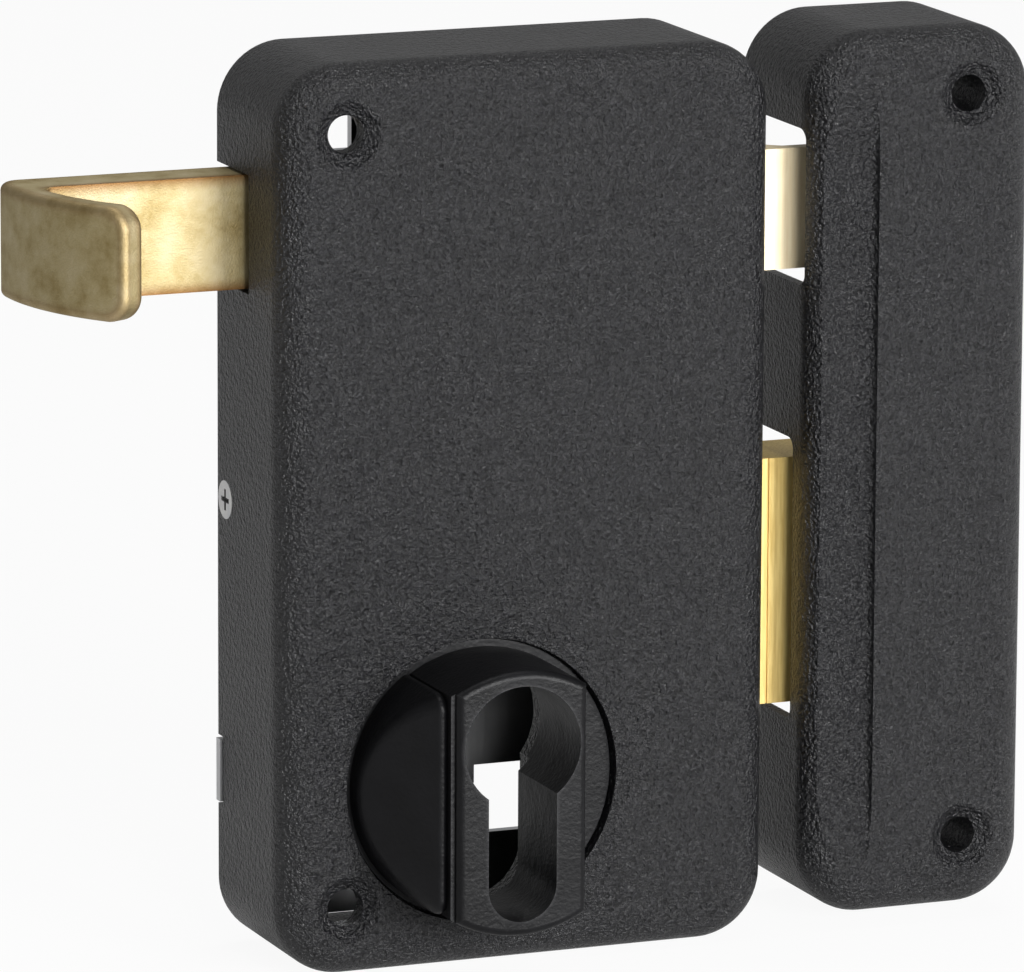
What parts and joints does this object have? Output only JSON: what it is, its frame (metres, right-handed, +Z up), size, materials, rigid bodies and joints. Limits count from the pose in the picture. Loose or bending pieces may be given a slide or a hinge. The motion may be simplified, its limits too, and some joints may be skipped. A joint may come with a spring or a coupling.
{
  "type": "rim box lock",
  "caption": "Black rim box lock with a sprung pull latch, a brass deadbolt, a raised cylinder guard and its matching box keeper.",
  "frame": {"origin": "axis of the profile cylinder hole where it meets the face of the door", "axes": "+X towards the keeper, +Y from the lock into the door, +Z up"},
  "size_m": [0.1451, 0.0407, 0.1273],
  "materials": {
    "case_paint": "black orange-peel paint",
    "keeper_paint": "black orange-peel paint",
    "guard_paint": "smoother black paint on cast metal",
    "plate_zinc": "zinc-plated sheet",
    "screw_zinc": "zinc-plated screw",
    "latch_brass": "pale brushed brass",
    "deadbolt_brass": "brushed brass",
    "pull_brass": "raw cast brass",
    "inner_steel": "plain steel",
    "spring_steel": "spring steel"
  },
  "bodies": {
    "case": {"lock_case": "case_paint", "back_plate": "plate_zinc", "cylinder_guard": "guard_paint", "guard_screws": "screw_zinc", "case_side_screws": "screw_zinc", "lever_stud": "inner_steel", "guide_stud": "inner_steel", "stud_clips": "spring_steel", "spring_bracket": "plate_zinc", "bracket_rivets": "inner_steel", "spring_rod": "inner_steel", "latch_spring": "spring_steel", "detent_leaf": "spring_steel", "leaf_rivet": "inner_steel"},
    "latch": {"latch_bolt": "latch_brass", "pull_handle": "pull_brass", "pull_pins": "inner_steel", "lever_pin": "inner_steel"},
    "lever": {"latch_lever": "inner_steel"},
    "deadbolt": {"deadbolt_head": "deadbolt_brass", "deadbolt_tail": "plate_zinc", "tail_rivets": "inner_steel"},
    "keeper": {"keeper_cover": "keeper_paint"}
  },
  "joints": [
    {"name": "latch_slide", "type": "slide", "parent": "case", "child": "latch", "axis": [-1, 0, 0], "range_m": [0, 0.014], "stiffness_N_per_m": 150, "springref_m": -0.02, "deforming": ["latch_spring"]},
    {"name": "latch_lever_pivot", "type": "hinge", "parent": "case", "child": "lever", "pos_m": [0.004, -0.0174, 0.04627], "axis": [0, -1, 0], "range_deg": [0, 40.1]},
    {"name": "deadbolt_slide", "type": "slide", "parent": "case", "child": "deadbolt", "axis": [-1, 0, 0], "range_m": [0, 0.02], "deforming": ["detent_leaf"]},
    {"name": "keeper_parting", "type": "slide", "parent": "case", "child": "keeper", "axis": [1, 0, 0], "range_m": [0, 0.04]}
  ],
  "couplings": [
    {"joint": "latch_lever_pivot", "follows": "latch_slide", "rad_per_m": 49.86}
  ]
}
